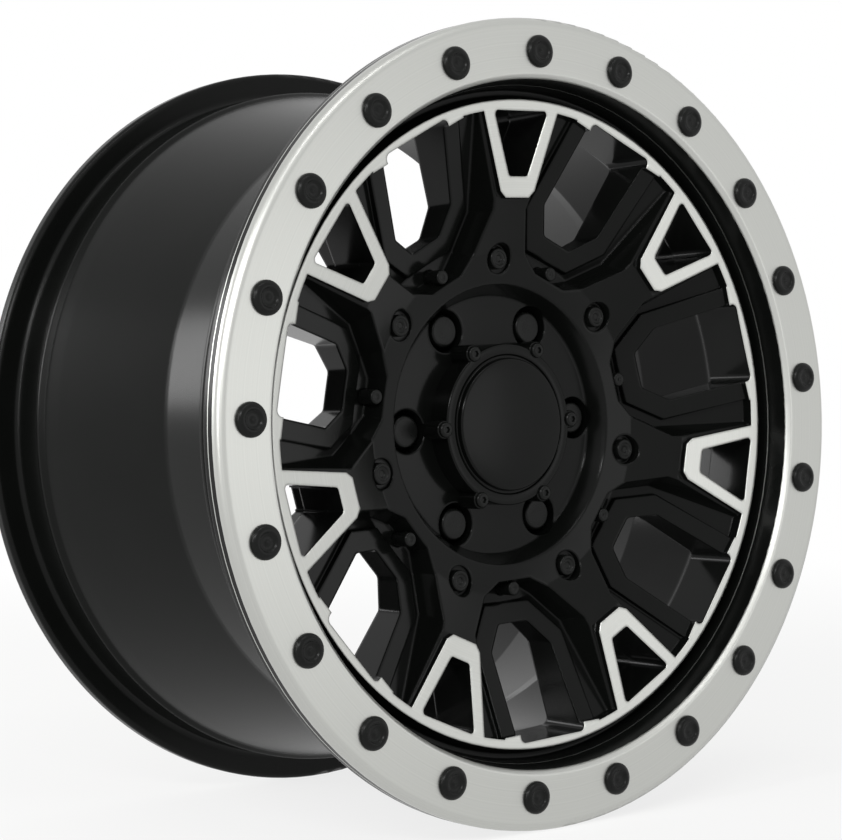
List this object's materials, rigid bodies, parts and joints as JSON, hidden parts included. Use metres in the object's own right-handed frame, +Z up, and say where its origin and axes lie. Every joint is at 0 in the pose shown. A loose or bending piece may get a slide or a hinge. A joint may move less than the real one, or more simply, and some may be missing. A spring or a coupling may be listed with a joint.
{
  "type": "wheel rim",
  "caption": "Wide cast truck wheel rim with a bolted-look front lip, dished open spokes with machined loops, a screwed centre cap and a bolt-on hub.",
  "frame": {"origin": "the wheel's centre: on the axle, midway between the lip bolts' heads and the back flange", "axes": "the axle is Y with the face towards -Y; +Z is up as the wheel stands on a vehicle"},
  "size_m": [0.497, 0.2746, 0.497],
  "materials": {
    "cast_aluminium": "satin black paint, with the lip, face ring and loops turned bright",
    "black_steel": "black coated, satin",
    "black_plastic": "gloss black"
  },
  "bodies": {
    "root": {"wheel_casting": "cast_aluminium", "lip_bolts": "black_steel", "spoke_bolts": "black_steel", "frame_pins": "black_steel", "lug_nuts": "black_steel", "center_cap": "black_plastic", "cap_screws": "black_steel"}
  },
  "joints": []
}
